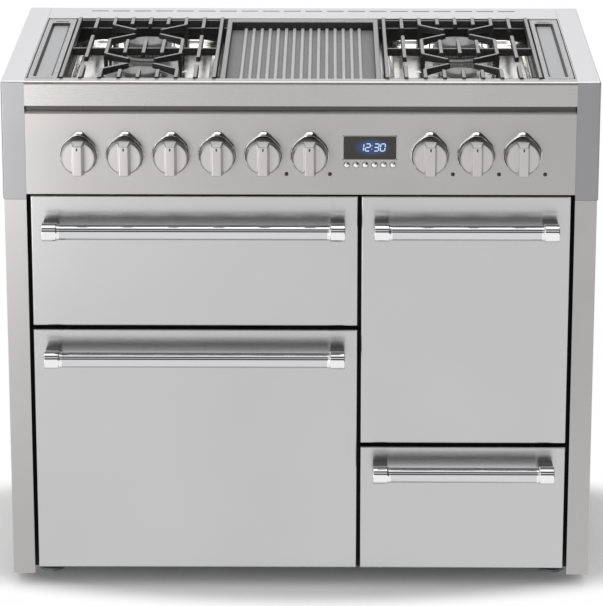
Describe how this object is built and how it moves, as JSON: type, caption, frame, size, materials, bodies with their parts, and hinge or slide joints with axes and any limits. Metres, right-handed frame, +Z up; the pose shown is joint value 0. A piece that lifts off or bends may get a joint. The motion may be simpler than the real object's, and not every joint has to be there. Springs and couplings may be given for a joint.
{
  "type": "range cooker",
  "caption": "Free-standing steel range cooker with gas burners, a ribbed griddle, drop-down oven doors with tube handles, a storage drawer and a knob panel with a clock.",
  "frame": {"origin": "on the floor, in the middle of the outline seen from above, handles included", "axes": "+X to the right seen from the front, +Y to the back, +Z up"},
  "size_m": [1, 0.658, 0.903],
  "materials": {
    "brushed_steel": "brushed",
    "door_steel": "satin",
    "hob_steel": "polished",
    "plated_steel": "dull zinc",
    "chrome": "mirror",
    "knob_metal": "satin chrome",
    "dark_enamel": "gloss enamel",
    "cast_iron": "matt enamel",
    "burner_alloy": "cast",
    "cap_enamel": "matt enamel",
    "clock_glass": "gloss",
    "lamp_lens": "gloss",
    "seal_rubber": "matt",
    "element_steel": "oxidised",
    "gas_brass": "machined",
    "motor_paint": "painted",
    "fan_aluminium": "stamped"
  },
  "bodies": {
    "casing": {"side_panel_left": "brushed_steel", "side_panel_right": "brushed_steel", "side_trim_left": "brushed_steel", "side_trim_right": "brushed_steel", "hob_front_rail": "brushed_steel", "control_panel": "brushed_steel", "back_panel": "plated_steel", "base_tray": "plated_steel", "feet": "plated_steel", "front_frame": "plated_steel", "oven_seals": "seal_rubber", "hinge_brackets": "plated_steel", "drawer_rails": "plated_steel", "grill_cavity": "dark_enamel", "main_oven_cavity": "dark_enamel", "tall_oven_cavity": "dark_enamel", "heating_elements": "element_steel", "racks_and_shelves": "chrome", "fan_motor": "motor_paint", "knob_bezels": "chrome", "clock_glass": "clock_glass", "indicator_lamps": "lamp_lens", "gas_rail_and_taps": "gas_brass", "hob_top": "hob_steel", "burner_bases": "burner_alloy", "burner_crowns": "burner_alloy", "burner_caps": "cap_enamel"},
    "grill_door": {"grill_door_skin": "door_steel", "grill_door_inner_panel": "plated_steel", "grill_door_handle": "chrome"},
    "main_door": {"main_door_skin": "door_steel", "main_door_inner_panel": "plated_steel", "main_door_handle": "chrome"},
    "tall_door": {"tall_door_skin": "door_steel", "tall_door_inner_panel": "plated_steel", "tall_door_handle": "chrome"},
    "drawer": {"drawer_front": "door_steel", "drawer_box": "plated_steel", "drawer_handle": "chrome"},
    "knob_1": {"knob_1": "knob_metal"},
    "knob_2": {"knob_2": "knob_metal"},
    "knob_3": {"knob_3": "knob_metal"},
    "knob_4": {"knob_4": "knob_metal"},
    "knob_5": {"knob_5": "knob_metal"},
    "knob_6": {"knob_6": "knob_metal"},
    "knob_7": {"knob_7": "knob_metal"},
    "knob_8": {"knob_8": "knob_metal"},
    "knob_9": {"knob_9": "knob_metal"},
    "clock_button_1": {"clock_button_1": "chrome"},
    "clock_button_2": {"clock_button_2": "chrome"},
    "clock_button_3": {"clock_button_3": "chrome"},
    "clock_button_4": {"clock_button_4": "chrome"},
    "clock_button_5": {"clock_button_5": "chrome"},
    "clock_button_6": {"clock_button_6": "chrome"},
    "pan_support_left": {"pan_support_left": "cast_iron"},
    "pan_support_right": {"pan_support_right": "cast_iron"},
    "griddle_plate": {"griddle_plate": "cast_iron"},
    "side_tray_left": {"side_tray_left": "cast_iron"},
    "side_tray_right": {"side_tray_right": "cast_iron"},
    "convection_fan": {"convection_fan": "fan_aluminium"}
  },
  "joints": [
    {"name": "grill_door_hinge", "type": "hinge", "parent": "casing", "child": "grill_door", "pos_m": [-0.179, -0.261, 0.482], "axis": [1, 0, 0], "range_deg": [0, 90], "stiffness_Nm_per_rad": 1.6, "springref_deg": -20.05},
    {"name": "main_door_hinge", "type": "hinge", "parent": "casing", "child": "main_door", "pos_m": [-0.179, -0.261, 0.043], "axis": [1, 0, 0], "range_deg": [0, 90], "stiffness_Nm_per_rad": 6, "springref_deg": -17.19},
    {"name": "tall_door_hinge", "type": "hinge", "parent": "casing", "child": "tall_door", "pos_m": [0.2785, -0.261, 0.272], "axis": [1, 0, 0], "range_deg": [0, 90], "stiffness_Nm_per_rad": 5, "springref_deg": -17.19},
    {"name": "drawer_slide", "type": "slide", "parent": "casing", "child": "drawer", "axis": [0, -1, 0], "range_m": [0, 0.28]},
    {"name": "knob_1_turn", "type": "hinge", "parent": "casing", "child": "knob_1", "pos_m": [-0.3713, -0.291, 0.774], "axis": [0, -1, 0], "range_deg": [0, 210]},
    {"name": "knob_2_turn", "type": "hinge", "parent": "casing", "child": "knob_2", "pos_m": [-0.294, -0.291, 0.774], "axis": [0, -1, 0], "range_deg": [0, 210]},
    {"name": "knob_3_turn", "type": "hinge", "parent": "casing", "child": "knob_3", "pos_m": [-0.2167, -0.291, 0.774], "axis": [0, -1, 0], "range_deg": [0, 210]},
    {"name": "knob_4_turn", "type": "hinge", "parent": "casing", "child": "knob_4", "pos_m": [-0.1394, -0.291, 0.774], "axis": [0, -1, 0], "range_deg": [0, 210]},
    {"name": "knob_5_turn", "type": "hinge", "parent": "casing", "child": "knob_5", "pos_m": [-0.0621, -0.291, 0.774], "axis": [0, 1, 0], "range_deg": [0, 270]},
    {"name": "knob_6_turn", "type": "hinge", "parent": "casing", "child": "knob_6", "pos_m": [0.0152, -0.291, 0.774], "axis": [0, 1, 0], "range_deg": [0, 270]},
    {"name": "knob_7_turn", "type": "hinge", "parent": "casing", "child": "knob_7", "pos_m": [0.2167, -0.291, 0.774], "axis": [0, 1, 0], "continuous": true},
    {"name": "knob_8_turn", "type": "hinge", "parent": "casing", "child": "knob_8", "pos_m": [0.294, -0.291, 0.774], "axis": [0, 1, 0], "range_deg": [0, 270]},
    {"name": "knob_9_turn", "type": "hinge", "parent": "casing", "child": "knob_9", "pos_m": [0.3713, -0.291, 0.774], "axis": [0, 1, 0], "range_deg": [0, 270]},
    {"name": "clock_button_1_press", "type": "slide", "parent": "casing", "child": "clock_button_1", "axis": [0, 1, 0], "range_m": [0, 0.0015], "stiffness_N_per_m": 250},
    {"name": "clock_button_2_press", "type": "slide", "parent": "casing", "child": "clock_button_2", "axis": [0, 1, 0], "range_m": [0, 0.0015], "stiffness_N_per_m": 250},
    {"name": "clock_button_3_press", "type": "slide", "parent": "casing", "child": "clock_button_3", "axis": [0, 1, 0], "range_m": [0, 0.0015], "stiffness_N_per_m": 250},
    {"name": "clock_button_4_press", "type": "slide", "parent": "casing", "child": "clock_button_4", "axis": [0, 1, 0], "range_m": [0, 0.0015], "stiffness_N_per_m": 250},
    {"name": "clock_button_5_press", "type": "slide", "parent": "casing", "child": "clock_button_5", "axis": [0, 1, 0], "range_m": [0, 0.0015], "stiffness_N_per_m": 250},
    {"name": "clock_button_6_press", "type": "slide", "parent": "casing", "child": "clock_button_6", "axis": [0, 1, 0], "range_m": [0, 0.0015], "stiffness_N_per_m": 250},
    {"name": "pan_support_left_lift", "type": "slide", "parent": "casing", "child": "pan_support_left", "axis": [0, 0, 1], "range_m": [0, 0.08]},
    {"name": "pan_support_right_lift", "type": "slide", "parent": "casing", "child": "pan_support_right", "axis": [0, 0, 1], "range_m": [0, 0.08]},
    {"name": "griddle_plate_lift", "type": "slide", "parent": "casing", "child": "griddle_plate", "axis": [0, 0, 1], "range_m": [0, 0.08]},
    {"name": "side_tray_left_lift", "type": "slide", "parent": "casing", "child": "side_tray_left", "axis": [0, 0, 1], "range_m": [0, 0.06]},
    {"name": "side_tray_right_lift", "type": "slide", "parent": "casing", "child": "side_tray_right", "axis": [0, 0, 1], "range_m": [0, 0.06]},
    {"name": "convection_fan_spin", "type": "hinge", "parent": "casing", "child": "convection_fan", "pos_m": [-0.179, 0.222, 0.2555], "axis": [0, 1, 0], "continuous": true}
  ]
}
